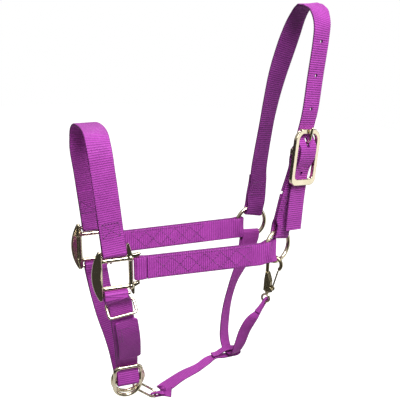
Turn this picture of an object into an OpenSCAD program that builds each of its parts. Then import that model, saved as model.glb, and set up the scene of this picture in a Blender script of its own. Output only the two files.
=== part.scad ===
// Flat webbing head halter, millimetres, +Z up.
// +X runs from the nose to the crown, -Y is the near side, +Y the far side.
// The origin is the poll: the middle of the underside of the crown strap.

/* [Webbing] */
// Width of the head straps
strap_w = 25.4; // [25:0.1:25.8]
// Thickness of one ply of the head straps
strap_t = 2.4; // [2.2:0.1:2.4]
// Width of the throat and connector straps
narrow_w = 19; // [18:0.5:19.5]
// Thickness of one ply of the throat and connector straps
narrow_t = 2; // [1.8:0.1:2]
// Diameter of the punched holes in the crown strap
hole_d = 4; // [3.5:0.1:4.2]

/* [Cast fittings] */
// Wire diameter of the two cheek rings
ring_wire = 4.6; // [4.4:0.1:4.6]
// Outside diameter of the two cheek rings
ring_od = 40.6; // [40.2:0.1:40.6]
// Diameter of the bars of the halter squares
bar_d = 4.8; // [4.4:0.1:4.8]
// Outside width of the crown buckle
buckle_w = 39.5; // [38.5:0.5:40]
// Outside height of the crown buckle
buckle_h = 61; // [60:0.5:61]

/* [Chin fittings] */
// Outside diameter of the round lead ring
lead_od = 41; // [40:0.5:41]
// Outside width of the chin dee
dee_w = 35; // [34.5:0.5:35]
// Outside width of the chin adjuster
adjuster_w = 33; // [32.5:0.5:34]

/* [Hidden] */
$fn = 48;

WEB = [0.66, 0.2, 0.66];
THREAD = [0.72, 0.26, 0.72];
BRASS = [0.8, 0.74, 0.55];
STEEL = [0.35, 0.33, 0.3];
fit_gap = 0.3;          // play between webbing and metal
ply_gap = 0.4;          // gap between two sewn plies
ply = strap_t + ply_gap;
thread_t = 0.4;         // how far a stitch stands off the webbing

// Places
side_y = 45;                         // from the middle plane to each side
near_square_at = [-235.5, -side_y, -262.5];
far_square_at = [-238, side_y, -262.5];
bar_half = 15.5;                     // from the middle of a square to the axis of a frame bar
outer_half = 23.2;                   // from the middle of a square to the outer bars, which hold the straps
outer_r = 1.7;
near_cheek_z = -259.2;
far_cheek_z = -261.4;
near_turn = 22;                      // turn of the near ring and the near crown leg
near_ring_at = [-51, -42, -256];
far_ring_at = [-45, side_y, -256];
buckle_at = [-27, -49, -155];
buckle_lean = 8;
bar_r = bar_d / 2;
wire_r = ring_wire / 2;
ring_r = ring_od / 2 - wire_r;       // from the ring's centre to the middle of its wire

// ---------- vectors and smooth routes ----------
X = [1, 0, 0];
Y = [0, 1, 0];
Z = [0, 0, 1];
function unit(v) = v / norm(v);
function turned(v, a) = [v.x * cos(a) - v.y * sin(a), v.x * sin(a) + v.y * cos(a), v.z];
function leaned(v, a) = [v.x * cos(a) + v.z * sin(a), v.y, v.z * cos(a) - v.x * sin(a)];
function tipped(v, a) = [v.x, v.y * cos(a) - v.z * sin(a), v.y * sin(a) + v.z * cos(a)];

// A route is a list of rows [point, width direction, width].
function row(p, dir = X, w = strap_w) = [p, dir, w];
function blend4(a, b, c, d, t) = 0.5 * (2 * b + (c - a) * t + (2 * a - 5 * b + 4 * c - d) * t * t
    + (3 * b - 3 * c + d - a) * t * t * t);
function smooth_column(r, i, k, t) = blend4(r[max(i - 1, 0)][k], r[i][k], r[i + 1][k],
    r[min(i + 2, len(r) - 1)][k], t);
function smoothed(r, steps) = [for (i = [0 : len(r) - 2]) for (s = [0 : steps - 1])
    [for (k = [0 : 2]) smooth_column(r, i, k, s / steps)], r[len(r) - 1]];
function tangent(r, i) = unit(r[min(i + 1, len(r) - 1)][0] - r[max(i - 1, 0)][0]);
function across(dir, along) = unit(dir - (dir * along) * along);
function section(r, i, thick) = let (t = tangent(r, i), w = across(r[i][1], t) * r[i][2] / 2,
    n = unit(cross(t, w)) * thick / 2, p = r[i][0]) [p - w - n, p + w - n, p + w + n, p - w + n];

// A flat strap of one ply swept along a route
module ribbon(route, thick = strap_t, steps = 2) {
    r = smoothed(route, steps);
    last = len(r) - 1;
    points = [for (i = [0 : last]) each section(r, i, thick)];
    sides = [for (i = [0 : last - 1]) for (k = [0 : 3])
        let (a = 4 * i + k, b = 4 * i + (k + 1) % 4) each [[a, b + 4, b], [a, a + 4, b + 4]]];
    ends = [[1, 2, 3], [0, 1, 3], [4 * last + 2, 4 * last + 1, 4 * last],
        [4 * last + 3, 4 * last + 2, 4 * last]];
    polyhedron(points, concat(sides, ends), convexity = 10);
}

// Half a turn round a bar: from the side of -out, past -up, to the side of +out
function round_bar(at, up, out, dir, r, drop, w = strap_w, last = 0) = [for (a = [180 : -30 : last])
    row(at + out * r * cos(a) - up * (r * sin(a) + drop), dir, w)];

// A round ring in the XZ plane
module wire_ring(r, wire) {
    rotate([90, 0, 0]) rotate_extrude() translate([r, 0]) circle(r = wire);
}

module rod(a, b, r) {
    v = b - a;
    translate(a) rotate([0, acos(v.z / norm(v)), atan2(v.y, v.x)]) cylinder(h = norm(v), r = r);
}

// ---------- halter squares ----------
ear_t = 4;
bow_t = 3.4;
module ear(turn, reach, skew) {
    rotate([0, turn, 0]) rotate([90, 0, 0]) linear_extrude(ear_t, center = true)
        polygon([[-3.4, -2], [3.4, -2], [skew + 1.2, reach - 1], [skew, reach], [skew - 1.2, reach - 1]]);
}

bar_front = 16.9;         // the front bar sits further out, behind the bow
corner_r = 3.4;
low_post_z = -13.7;       // ends of the outer bar that holds the cheek strap
high_post_z = 18;
module bow_plate() {
    bow_r = 52;
    bow_w = 9.5;
    bow_reach = 27;
    bow_x = bow_r - bar_half - bow_w - 1.5;
    rotate([90, 0, 0]) linear_extrude(bow_t) intersection() {
        translate([bow_x, 0]) difference() {
            circle(r = bow_r, $fn = 96);
            circle(r = bow_r - bow_w, $fn = 96);
        }
        translate([-2 * bar_front, -bow_reach]) square([bar_front + 1, 2 * bow_reach]);
    }
}

module halter_square() {
    for (z = [-1, 1]) translate([-bar_front, 0, z * bar_half]) {
        rotate([0, 90, 0]) cylinder(h = bar_front + bar_half, r = bar_r);
        sphere(r = bar_r + 0.1);
    }
    translate([-bar_front, 0, -bar_half]) cylinder(h = 2 * bar_half, r = bar_r);
    translate([bar_half, 0, -bar_half]) cylinder(h = 2 * bar_half, r = bar_r);
    for (z = [-1, 1]) translate([bar_half, 0, z * bar_half]) sphere(r = corner_r);
    translate([bar_half, 0, bar_half]) ear(0, 17, -2.5);
    translate([bar_half, 0, bar_half]) ear(90, 11, -4);
    translate([bar_half, 0, -bar_half]) ear(90, 9.5, -2.4);
    translate([bar_half, 0, -bar_half]) ear(180, 9.5, -2);
    for (s = [-1, 1]) {
        rod([-bar_front, 0, s * outer_half], [bar_half - 1, 0, s * outer_half], outer_r);
        translate([-bar_front, 0, s * bar_half]) ear(s > 0 ? 0 : 180, outer_half - bar_half + 3, 0);
    }
    rod([outer_half, 0, low_post_z], [outer_half, 0, high_post_z], outer_r);
    translate([0, 1.6 - bar_r, 0]) bow_plate();
}

module near_square() {
    color(BRASS) translate(near_square_at) halter_square();
}
module far_square() {
    color(BRASS) translate(far_square_at) mirror([0, 1, 0]) halter_square();
}

// ---------- noseband ----------
// Rows of [y, z, x] over the nose
nose_shape = [[-44.8, -150, -246], [-44, -137, -247.2], [-39, -125.5, -248], [-28, -118.5, -247.5],
    [-14, -116, -247], [0, -115.5, -247], [14, -116, -247.5], [28, -118.5, -248], [39, -125.5, -248.5],
    [44, -137, -248.6], [44.8, -150, -248.6]];
nose_turn_r = outer_r + fit_gap + strap_t / 2;
nose_bar_z = near_square_at.z + outer_half;
nose_tail_z = -196;
nose_out = side_y + 1;

// One end of the noseband, from over the nose down round a square's top bar and up inside
function nose_end(side, bar_x, top_x) = let (
    lean = (top_x - bar_x) / (-150 - nose_bar_z))
    [for (z = [-172, -198, -218, -232])
        row([bar_x + lean * (z - nose_bar_z), side * (nose_out + (z < -230 ? 1 : 0)), z]),
    for (a = [0 : 30 : 180]) row([bar_x, side * (side_y + nose_turn_r * cos(a)),
        nose_bar_z - 0.5 - nose_turn_r * sin(a)]),
    for (z = [-232, -224, nose_tail_z])
        row([bar_x + lean * (z - nose_bar_z), side * (nose_out - (z < -230 ? 3.1 : ply)), z])];
function backwards(r) = [for (i = [len(r) - 1 : -1 : 0]) r[i]];

module noseband_strap() {
    arch = [for (p = nose_shape) row([p.z, p.x, p.y])];
    color(WEB) ribbon(concat(backwards(nose_end(-1, near_square_at.x - 1.5, -246)), arch,
        nose_end(1, far_square_at.x - 0.8, -248)));
}

// ---------- cheek straps and rings ----------
eye_r = outer_r + fit_gap + strap_t;       // outside of a strap turned round an outer bar
cheek_t = 2 * strap_t + 0.2;
sleeve_r = wire_r + fit_gap + strap_t;
near_bend = [-76, -52];                    // where the near cheek strap turns into its ring's plane

// The end of a cheek strap round a ring, about the ring's centre, in its plane.
// Its upright edge is at -inner; its lower corner is cut away inside -corner_in and below -corner_low.
module ring_end(reach, rise, inner, corner_in, corner_low) {
    sleeve_from = 150;
    sleeve_to = 234;
    end_w = strap_w - 0.2;                 // the turned end draws in a little
    difference() {
        intersection() {
            union() {
                translate([-reach, -cheek_t / 2, -strap_w]) cube([reach, cheek_t, 2 * strap_w]);
                rotate([90, 0, 0]) rotate([0, 0, sleeve_from]) rotate_extrude(angle = sleeve_to - sleeve_from)
                    translate([ring_r, 0]) circle(r = sleeve_r);
            }
            translate([-reach, -ring_od, rise - end_w / 2]) cube([reach - inner, 2 * ring_od, end_w]);
        }
        wire_ring(ring_r, wire_r + fit_gap);
        translate([-corner_in, -ring_od, -2 * ring_od]) cube([ring_od, 2 * ring_od, 2 * ring_od - corner_low]);
    }
}

// The straight run of a cheek strap from its square's rear bar to a point beside its ring
module cheek_run(bar, end, z) {
    run = [end.x - bar.x, end.y - bar.y];
    bar_top = near_square_at.z + bar_half - corner_r - 0.2;
    bar_low = near_square_at.z - bar_half + corner_r + 0.2;
    difference() {
        translate([bar.x, bar.y, z - strap_w / 2]) linear_extrude(strap_w)
            rotate(atan2(run.y, run.x)) difference() {
                union() {
                    circle(r = eye_r);
                    translate([2, -cheek_t / 2]) square([norm(run) - 2, cheek_t]);
                    polygon([[0, eye_r], [1.5, eye_r - 0.1], [10, cheek_t / 2], [10, -cheek_t / 2],
                        [1.5, 0.1 - eye_r], [0, -eye_r]]);
                }
                circle(r = outer_r + fit_gap);
            }
        translate([bar.x - outer_half + bar_half, bar.y + strap_w / 2, 0]) rotate([90, 0, 0]) linear_extrude(strap_w) {
            polygon([[-8, bar_top - 2.6], [-2, bar_top - 2.6], [-0.8, bar_top], [5, bar_top],
                [14, bar_top + 7], [-8, bar_top + 7]]);
            polygon([[-8, bar_low + 3.4], [-2, bar_low + 3.4], [-0.8, bar_low], [-0.8, bar_low - 7],
                [-8, bar_low - 7]]);
        }
    }
}

near_cheek_bar = [near_square_at.x + outer_half, near_square_at.y];
far_cheek_bar = [far_square_at.x + outer_half, far_square_at.y];
far_cheek_end = [-90, side_y];

module near_cheek_strap() {
    reach = norm([near_bend.x - near_ring_at.x, near_bend.y - near_ring_at.y]);
    color(WEB) union() {
        cheek_run(near_cheek_bar, near_bend, near_cheek_z);
        translate(near_ring_at) rotate([0, 0, near_turn])
            ring_end(reach + 0.4, near_cheek_z - near_ring_at.z, 4, 7, 9.4);
    }
}

module far_cheek_strap() {
    color(WEB) union() {
        cheek_run(far_cheek_bar, far_cheek_end, far_cheek_z);
        translate(far_ring_at)
            ring_end(far_ring_at.x - far_cheek_end.x, far_cheek_z - far_ring_at.z, 11, 13.6, 7.9);
    }
}

module near_ring() {
    color(BRASS) translate(near_ring_at) rotate([0, 0, near_turn]) wire_ring(ring_r, wire_r);
}
module far_ring() {
    color(BRASS) translate(far_ring_at) wire_ring(ring_r, wire_r);
}

// ---------- crown strap, from the far ring over the poll to the buckle ----------
function at_buckle(w, out, h) = buckle_at + turned(leaned([w, -out, h], buckle_lean), near_turn);
near_dir = turned(X, near_turn);
fold_w = 21.5;                   // a strap draws in a little where it turns round a ring
ring_drop = ring_r - sqrt(ring_r * ring_r - fold_w * fold_w / 4) + 1.1;
turn_r = wire_r + fit_gap + strap_t / 2;

crown_lean = 11;
crown_up = leaned(Z, crown_lean);
crown_loop = far_ring_at + ring_r * crown_up;
function at_crown(s, out, turn = 0) = crown_loop + s * crown_up + out * turned(Y, turn);
// Rows of [x, y, z, turn] up the far side, then [x, y, z] down the near side
crown_far = [[-36.2, 43.5, -186, 20], [-28.5, 43.5, -138, 24], [-22.5, 44, -108, 20],
    [-15.5, 44, -79, 10], [-7.5, 44, -54, 4], [-0.5, 43, -33, 4], [3.5, 38, -16, 10], [4.5, 28, -5, 16],
    [3, 14, 0.4, 20], [0, 0, 1.2, 22]];
crown_near = [[-3, -15, 0.4], [-5, -30, -4], [-7, -41, -16], [-9.5, -44.5, -34], [-14.5, -45.5, -69],
    [-19.5, -47, -104]];
buckle_pass = [[29, -1.9], [22.2, -1.8], [15, 2.6], [10.5, 5], [4, 5.6], [-3, 4.4], [-13, 0.2], [-21.5, -1.7],
    [-29, -1.9]];
crown_tail = [[-33.5, -49, -205], [-37, -51, -236]];
crown_holes = [for (i = [3 : 5]) crown_near[i]];
lower_hole_h = -18;

crown_route = concat(
    [row(at_crown(42, ply, 18) - [2, 0, 0], turned(X, 18)), row(at_crown(32, ply, 16) - [1, 0, 0], turned(X, 16)),
     row(at_crown(16, ply, 8), turned(X, 8)), row(at_crown(4, turn_r + 0.3), X, fold_w)],
    round_bar(crown_loop, crown_up, -Y, leaned(X, crown_lean), turn_r, ring_drop, fold_w),
    [row(at_crown(4, -turn_r), X, fold_w), row(at_crown(16, -0.4), turned(X, 8)),
     row(at_crown(32, 0) - [1, 0, 0], turned(X, 16))],
    [for (p = crown_far) row([p[0], p[1], p[2]], turned(X, p[3]))],
    [for (p = crown_near) row(p, near_dir)],
    [for (p = buckle_pass) row(at_buckle(0.5, p[1], p[0]), near_dir)],
    [for (p = crown_tail) row(p, near_dir)]);

module punched(at) {
    translate(at) rotate([90, 0, near_turn]) cylinder(h = 16, r = hole_d / 2, center = true);
}

module crown_strap() {
    slot_w = 4.4;
    slot_low = 11.5;
    slot_high = 20.5;
    color(WEB) difference() {
        ribbon(crown_route);
        for (p = crown_holes) punched(p);
        punched(at_buckle(0.5, 0, lower_hole_h));
        translate(buckle_at) rotate([0, buckle_lean, near_turn])
            translate([-slot_w / 2, -16, slot_low]) cube([slot_w, 32, slot_high - slot_low]);
    }
}

// ---------- crown buckle ----------
frame_t = 4;            // depth of the buckle frame
frame_out = 2.6;        // from the strap's line out to the middle of the frame
pin_h = 6;              // height of the centre bar
pin_out = -2;           // the centre bar lies behind the frame
pin_r = 2.1;

module in_buckle() {
    translate(buckle_at) rotate([0, buckle_lean, near_turn]) children();
}

module round_box(w, low, high, r_low, r_high) {
    translate([-w / 2, low + r_low]) square([w, high - low - r_low - r_high]);
    translate([r_low - w / 2, low]) square([w - 2 * r_low, high - low]);
    translate([r_high - w / 2, low + r_low]) square([w - 2 * r_high, high - low - r_low]);
    for (x = [-1, 1]) {
        translate([x * (w / 2 - r_low), low + r_low]) circle(r = r_low);
        translate([x * (w / 2 - r_high), high - r_high]) circle(r = r_high);
    }
}

module buckle_frame() {
    low = -buckle_h / 2;
    high = buckle_h / 2;
    lug_w = 3.4;
    lug_h = 6;
    color(BRASS) in_buckle() union() {
        translate([0, frame_t / 2 - frame_out, 0]) rotate([90, 0, 0]) linear_extrude(frame_t) difference() {
            round_box(buckle_w, low, high, 8, 13);
            round_box(buckle_w - 10.4, low + 6.6, high - 5, 4.5, 7.6);
        }
        translate([3 - buckle_w / 2, -pin_out, pin_h]) rotate([0, 90, 0])
            cylinder(h = buckle_w - 6, r = pin_r);
        for (x = [-1, 1]) translate([x * (buckle_w / 2 - 3.4) - lug_w / 2, -2, pin_h - lug_h / 2])
            cube([lug_w, 6, lug_h]);
    }
}

tongue_points = [[8.6, -0.4], [14, 0.8], [20, 5.9], [31.5, 7.4]];
module buckle_tongue() {
    tongue_r = 1.5;
    eye_w = 4.4;
    function spot(p) = [0.5, -p[1], p[0]];
    color(BRASS) in_buckle() difference() {
        union() {
            for (i = [0 : 2]) rod(spot(tongue_points[i]), spot(tongue_points[i + 1]), tongue_r);
            for (p = tongue_points) translate(spot(p)) sphere(r = tongue_r, $fn = 32);
            translate([0.5 - eye_w / 2, -pin_out, pin_h]) rotate([0, 90, 0])
                cylinder(h = eye_w, r = pin_r + 1.9);
        }
        translate([-eye_w, -pin_out, pin_h]) rotate([0, 90, 0]) cylinder(h = 2 * eye_w + 1, r = pin_r + 0.1);
    }
}

// ---------- buckle strap, a closed loop from the near ring to the centre bar ----------
buckle_strap_lean = 13;
ring_up = turned(leaned(Z, buckle_strap_lean), near_turn);
near_ring_top = near_ring_at + ring_r * ring_up;
near_out = turned(-Y, near_turn);
bar_at = at_buckle(-1.6, pin_out, pin_h);
strap_run = bar_at - near_ring_top;
strap_up = unit(strap_run);
strap_bow = 2.4;                 // how far the strap bows towards the nose, below the buckle
bow_end = 0.75;
function on_run(f, out) = near_ring_top + f * strap_run + out * near_out
    - (f < bow_end ? strap_bow * sin(180 * f / bow_end) : 0) * near_dir;
bar_turn_r = pin_r + fit_gap + strap_t / 2;
run_out = ply / 2;

ring_dir = turned(leaned(X, buckle_strap_lean), near_turn);
pin_dir = turned(leaned(X, buckle_lean), near_turn);
buckle_strap_route = concat(
    [row(on_run(0.47, -run_out), near_dir), row(on_run(0.2, -run_out), near_dir),
     row(on_run(0.07, -turn_r - 0.2), ring_dir, fold_w)],
    round_bar(near_ring_top, ring_up, near_out, ring_dir, turn_r, ring_drop, fold_w),
    [row(on_run(0.07, turn_r + 0.2), ring_dir, fold_w), row(on_run(0.2, run_out), near_dir),
     row(on_run(0.5, run_out), near_dir), row(on_run(0.8, run_out), near_dir),
     row(on_run(0.91, bar_turn_r - 0.5), pin_dir)],
    round_bar(bar_at, -strap_up, -near_out, pin_dir, bar_turn_r, 2),
    [row(on_run(0.91, 0.5 - bar_turn_r), pin_dir), row(on_run(0.8, -run_out), near_dir),
     row(on_run(0.5, -run_out), near_dir)]);

module buckle_strap() {
    color(WEB) difference() {
        ribbon(buckle_strap_route);
        in_buckle() translate([0.5 - 2.8, -8, 0.5]) cube([5.6, 20, 16]);
    }
}

// ---------- chin strap, from one square down round the dee and up to the other ----------
chin_bar_z = near_square_at.z - outer_half;
chin_x = near_square_at.x - 1;
far_chin_x = far_square_at.x;
chin_turn_r = outer_r + fit_gap + strap_t / 2;
dee_at = [-216, -1, -414.5];
dee_tip = 12;                    // the dee leans out at the top
dee_wire = 2.2;
dee_bar_h = 20;
dee_sag = 6;                     // how far the round end starts below the crossbar
chin_near = [[-230, -40.5, -312], [-226.5, -35, -335], [-222, -22, -362], [-218, -7, -384],
    [-216.3, -0.6, -395], [-216, -3.6, -406]];
chin_far = [[-216.1, 8, -416], [-216.4, 12.4, -410.5], [-217, 13.8, -404], [-218.5, 15.6, -394],
    [-220.5, 18.4, -381], [-224, 24.5, -364], [-230, 34, -340], [-234.5, 40.5, -314]];
near_back = [[-226.5, -32, -334], [-229.5, -37.6, -312]];
function chin_side(side, a) = row([side < 0 ? chin_x : far_chin_x,
    side * side_y + chin_turn_r * cos(a), chin_bar_z + 0.6 + chin_turn_r * sin(a)]);

chin_route = concat(
    [for (p = near_back) row(p)],
    [row([-232, -40.4, -298]), row([chin_x, -41.8, -290])],
    [for (a = [0 : 30 : 180]) chin_side(-1, a)],
    [row([chin_x, -48.2, -290]), row([-232, -43.4, -298])],
    [for (p = chin_near) row(p)],
    round_bar(dee_at, Z, Y, X, dee_wire + fit_gap + strap_t / 2, 0.4, strap_w, 60),
    [for (p = chin_far) row(p)],
    [row([-236.5, 43.4, -298]), row([far_chin_x, 41.8, -290])],
    [for (a = [180 : -30 : 0]) chin_side(1, a)],
    [row([far_chin_x, 48.2, -290]), row([-237, 46.4, -298]), row([-234.5, 43.6, -314]),
     row([-231, 38, -334])]);

module chin_strap() {
    color(WEB) ribbon(chin_route);
}

flap_shift = 3;
flap_points = [[-229.5, -43.5, -317.2], [-226.5, -39, -334.3], [-224, -33, -347.9], [-222, -25.9, -361.3],
    [-219.5, -15.6, -377.2]];
module chin_flap() {
    color(WEB) ribbon([for (p = flap_points) row(p + [flap_shift, 0, 0])], steps = 3);
}

// A closed frame of round wire in the XZ plane with rounded corners
module wire_frame(half_w, half_h, corner, wire) {
    for (s = [-1, 1]) {
        rod([s * half_w, 0, corner - half_h], [s * half_w, 0, half_h - corner], wire);
        rod([corner - half_w, 0, s * half_h], [half_w - corner, 0, s * half_h], wire);
    }
    for (q = [[1, 1, 0], [-1, 1, 90], [-1, -1, 180], [1, -1, 270]])
        translate([q[0] * (half_w - corner), 0, q[1] * (half_h - corner)]) rotate([90, 0, 0])
            rotate([0, 0, q[2]]) rotate_extrude(angle = 90) translate([corner, 0]) circle(r = wire);
}

adjuster_at = [-230.5, -41.2, -304];
adjuster_h = 18.8;               // outside height
adjuster_wire = 1.5;
adjuster_lean = -40;             // the lower bar lies outside the strap, the upper bar behind it
module chin_adjuster() {
    color(BRASS) translate(adjuster_at) rotate([0, -7, 0]) rotate([adjuster_lean, 0, 0])
        wire_frame(adjuster_w / 2 - adjuster_wire, adjuster_h / 2 - adjuster_wire, 3, adjuster_wire);
}

module in_dee() {
    translate(dee_at) rotate([dee_tip, 0, 0]) children();
}

module chin_dee() {
    half = dee_w / 2 - dee_wire;
    corner = 6;
    color(BRASS) in_dee() union() {
        translate([0, 0, -dee_sag]) rotate([90, 0, 0]) rotate([0, 0, 180])
            rotate_extrude(angle = 180) translate([half, 0]) circle(r = dee_wire);
        for (s = [-1, 1]) {
            rod([s * half, 0, -dee_sag], [s * half, 0, dee_bar_h - corner], dee_wire);
            translate([s * (half - corner), 0, dee_bar_h - corner]) rotate([90, 0, 0])
                rotate([0, 0, s > 0 ? 0 : 90]) rotate_extrude(angle = 90) translate([corner, 0])
                    circle(r = dee_wire);
        }
        rod([corner - half, 0, dee_bar_h], [half - corner, 0, dee_bar_h], dee_wire);
        rod([-half, 0, 0], [half, 0, 0], dee_wire);
    }
}

lead_at = [-213.5, 8.5, -417];
lead_wire = 2.1;
lead_r = lead_od / 2 - lead_wire;
module lead_ring() {
    color(BRASS) translate(lead_at) rotate([dee_tip, 0, 0]) wire_ring(lead_r, lead_wire);
}

// ---------- link, connector strap and throat strap ----------
link_wire = 1.4;
link_r = 5;
link_ring_angle = -50;           // where the link hangs on the lead ring
link_on_ring = lead_at + lead_r * tipped([cos(link_ring_angle), 0, sin(link_ring_angle)], dee_tip);
link_end = [-182.5, 3.4, -442.5];
link_run = unit(link_end - link_on_ring);
link_past = 0.3;                 // how far the ring's wire sits inside the round of the link
link_half = (norm(link_end - link_on_ring) - link_past - link_r) / 2;
link_at = link_end - (link_half + link_r) * link_run;
link_roll = 20;
link_pitch = asin(-link_run.z);
link_yaw = atan2(link_run.y, link_run.x);
link_dir = turned(leaned(tipped(Y, link_roll), link_pitch), link_yaw);
module connector_link() {
    color(BRASS) translate(link_at) rotate([0, link_pitch, link_yaw])
        rotate([link_roll, 0, 0]) union() for (s = [-1, 1]) {
            rod([-link_half, s * link_r, 0], [link_half, s * link_r, 0], link_wire);
            translate([s * link_half, 0, 0]) rotate([0, 0, s > 0 ? -90 : 90])
                rotate_extrude(angle = 180) translate([link_r, 0]) circle(r = link_wire);
        }
}

// Rows of [x, y, z, width] from beside the link up to beside the throat strap
connector_dir = [0.3, 0.75, 0.6];
connector_points = [[-175, 3, -437.3, 14], [-164, 2, -430.8, 15], [-149, 1, -422.3, 13],
    [-131, 0, -415.3, 11], [-119, 0, -408.5, 11]];
link_along = unit(across([0.86, 0, 0.5], link_dir));
link_side = unit(cross(link_along, link_dir));
// Rows of [x, z] round the throat strap
throat_turn = [[-109, -404.5], [-99, -405.2], [-88, -405], [-80.5, -404.4], [-77.5, -401.3],
    [-80.5, -397.6], [-88, -396.4], [-97, -396.9], [-106, -401], [-112, -401.5]];
function at_link(s, out) = link_end + s * link_along + out * link_side;
module connector_strap() {
    gap = 1.3;
    color(WEB) ribbon(concat(
        [row(at_link(22, -1.4), connector_dir, 13), row(at_link(12, -gap), link_dir, 8),
         row(at_link(5, -gap - 1), link_dir, 4)],
        round_bar(link_end, link_along, link_side, link_dir, link_wire + fit_gap + narrow_t / 2, 2.4, 3),
        [row(at_link(5, gap + 1), link_dir, 4), row(at_link(12, gap), link_dir, 9)],
        [for (p = connector_points) row([p[0], p[1], p[2]], connector_dir, p[3])],
        [for (p = throat_turn) row([p[0], 0, p[1]], Y, 10)]), narrow_t);
}

// Rows of [x, y, z, width, turn] from below the far ring, round the connector, to below the snap
throat_points = [[-61.6, 38.6, -311, narrow_w, 22], [-69, 35.5, -322, 17, 30], [-75.5, 32, -335, 16, 34],
    [-81.5, 28, -350, 16, 34], [-86.5, 23, -368, 17, 34], [-89.5, 18, -386, 17, 34],
    [-90, 10, -398, 14, 30], [-89, 0, -401, 12, 26], [-87, -10, -398, 13, 18], [-84, -17, -384, 14, 0],
    [-81, -24, -364, 13, -20], [-77, -30, -350, 12, -35], [-72, -34, -341, 9, -48]];
throat_lean = 4;
far_ring_low = far_ring_at - ring_r * leaned(Z, throat_lean);
throat_down = unit([-8, -4, -26]);
throat_out = unit(across(Y, throat_down));
throat_turn_r = wire_r + fit_gap + narrow_t / 2;
throat_gap = 1.3;
throat_w = 21.5;                 // the throat strap spreads where it turns round the far ring
throat_dir = leaned(X, throat_lean);
throat_drop = ring_r - sqrt(ring_r * ring_r - throat_w * throat_w / 4) + 0.7;
throat_end = [-72, -34, -341];
function at_far(s, out) = far_ring_low + s * throat_down + out * throat_out;
module throat_strap() {
    eye = at_snap([0, 0, eye_at_h - eye_loop_r]);
    body = unit(throat_end - eye);
    eye_dir = turned(X, snap_turn);
    side = unit(cross(body, eye_dir));
    color(WEB) ribbon(concat(
        [row(at_far(27, throat_gap + 0.4), turned(X, 8), 21), row(at_far(13, throat_gap + 0.1), X, throat_w),
         row(at_far(2, throat_turn_r), throat_dir, throat_w)],
        round_bar(far_ring_low, -leaned(Z, throat_lean), -throat_out, throat_dir, throat_turn_r, throat_drop,
            throat_w),
        [row(at_far(2, -throat_turn_r), throat_dir, throat_w), row(at_far(13, -throat_gap - 0.1), X, throat_w),
         row(at_far(27, -throat_gap), turned(X, 8), 21)],
        [for (p = throat_points) row([p[0], p[1], p[2]], turned(X, p[4]), p[3])],
        [row(eye + 9 * body - 1.9 * side, eye_dir, 5)],
        round_bar(eye, body, side, eye_dir, eye_wire + fit_gap + narrow_t / 2, 2.5, 3.2),
        [row(eye + 9 * body + 1.9 * side, eye_dir, 5), row(eye + 15 * body + 1.7 * side, eye_dir, 7)]),
        narrow_t);
}

// ---------- snap ----------
hook_at = [-54, -42.2, -277.2];
snap_turn = -50;
snap_lean = 12.5;
hook_r = 8.2;
hook_wire = 2;
base_h = -36;            // underside of the snap's base, below the middle of the hook
base_r = 3.7;
stem_r = 1.2;
head_r = 2.1;
gate_pin_at = [4.7, 0, -31.6];
gate_pin_r = 0.8;
gate_turn = 3.7;
gate_long = 25.4;
gate_half_w = 1.2;
gate_eye_r = 1.7;
slot_half_w = 2.8;
body_half_w = 3.7;

eye_wire = 1.3;
eye_loop_r = 4.6;
eye_at_h = base_h - 4.2 - eye_loop_r;   // middle of the swivel's eye
function at_snap(p) = hook_at + turned(leaned(p, snap_lean), snap_turn);

module in_snap() {
    translate(hook_at) rotate([0, snap_lean, snap_turn]) children();
}

module snap_body() {
    color(STEEL) in_snap() difference() {
        union() {
            rotate([90, 0, 0]) rotate([0, 0, -35]) rotate_extrude(angle = 225)
                translate([hook_r, 0]) circle(r = hook_wire);
            rod([-hook_r, 0, 0.2], [-4.6, 0, -19], hook_wire);
            rotate([90, 0, 0]) linear_extrude(2 * body_half_w, center = true)
                polygon([[-6.6, -12], [-3.4, -13], [1.6, -22], [2.6, -28], [6.6, -29.4], [6.6, -33.2],
                    [3.4, -34.6], [-4, -34.6], [-6, -22]]);
            translate([0, 0, base_h]) cylinder(h = 8, r = base_r);
        }
        translate([2.5, -slot_half_w, -34]) cube([8, 2 * slot_half_w, 24]);
        translate(gate_pin_at + [0, 5, 0]) rotate([90, 0, 0]) cylinder(h = 10, r = gate_pin_r + 0.05);
        translate([0, 0, base_h - 1]) cylinder(h = 5, r = stem_r + 0.3);
        translate([0, 0, base_h + 2]) cylinder(h = 3.6, r = head_r + 0.3);
    }
}

module snap_gate_pin() {
    color(STEEL) in_snap() translate(gate_pin_at + [0, body_half_w, 0]) rotate([90, 0, 0])
        cylinder(h = 2 * body_half_w, r = gate_pin_r);
}

module snap_gate() {
    color(STEEL) in_snap() translate(gate_pin_at) rotate([0, gate_turn, 0]) difference() {
        union() {
            rotate([90, 0, 0]) cylinder(h = 2 * gate_half_w, r = gate_eye_r, center = true);
            translate([-0.6, -gate_half_w, 0]) cube([1.2, 2 * gate_half_w, gate_long]);
        }
        rotate([90, 0, 0]) cylinder(h = 10, r = gate_pin_r + 0.1, center = true);
    }
}

module snap_gate_spring() {
    color(STEEL) in_snap() for (y = [1.9, 2.4]) translate(gate_pin_at + [0, y, 0])
        wire_ring(1.4, 0.3);
}

module snap_eye() {
    color(BRASS) in_snap() {
        translate([0, 0, base_h + 2.4]) cylinder(h = 2.8, r = head_r);
        translate([0, 0, base_h - 3.4]) cylinder(h = 6, r = stem_r);
        translate([0, 0, base_h - 2.6]) sphere(r = head_r);
        translate([0, 0, eye_at_h]) wire_ring(eye_loop_r, eye_wire);
    }
}

// ---------- stitching ----------
seam_w = 0.8;
module seam(a, b) {
    v = b - a;
    translate(a) rotate(atan2(v.y, v.x)) translate([-seam_w / 2, -seam_w / 2])
        square([norm(v) + seam_w, seam_w]);
}

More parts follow.
